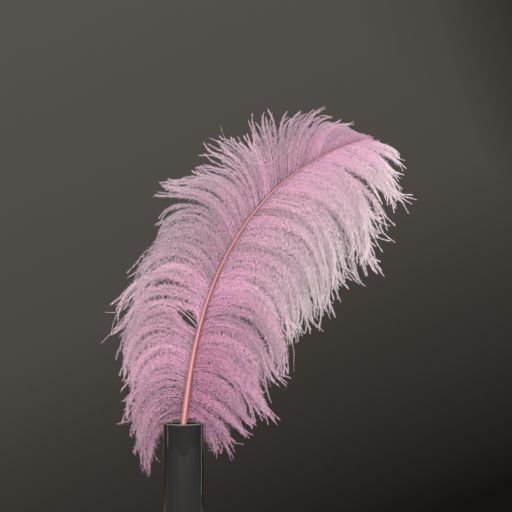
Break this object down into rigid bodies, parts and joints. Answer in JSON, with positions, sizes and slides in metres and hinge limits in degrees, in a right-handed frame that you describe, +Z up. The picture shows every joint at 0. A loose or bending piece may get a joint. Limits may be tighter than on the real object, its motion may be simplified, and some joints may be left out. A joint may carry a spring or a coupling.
{
  "type": "ostrich feather in a vase",
  "caption": "Dyed ostrich plume with a tapering shaft and two soft drooping vanes, its quill standing in a plain straight-sided glass cylinder vase.",
  "frame": {"origin": "centre of the vase's foot, on the surface that it stands on", "axes": "+Z up along the vase's axis. The plume is seen face on from -Y, with its shaft arching over towards +X and its tip nodding forward, towards -Y."},
  "size_m": [0.3657, 0.113, 0.5392],
  "materials": {
    "smoked_glass": "glossy smoked clear glass",
    "dyed_quill": "satin coral-dyed keratin",
    "dyed_down": "soft pale pink down"
  },
  "bodies": {
    "root": {"vase": "smoked_glass", "shaft": "dyed_quill", "left_vane": "dyed_down", "right_vane": "dyed_down"}
  },
  "joints": []
}
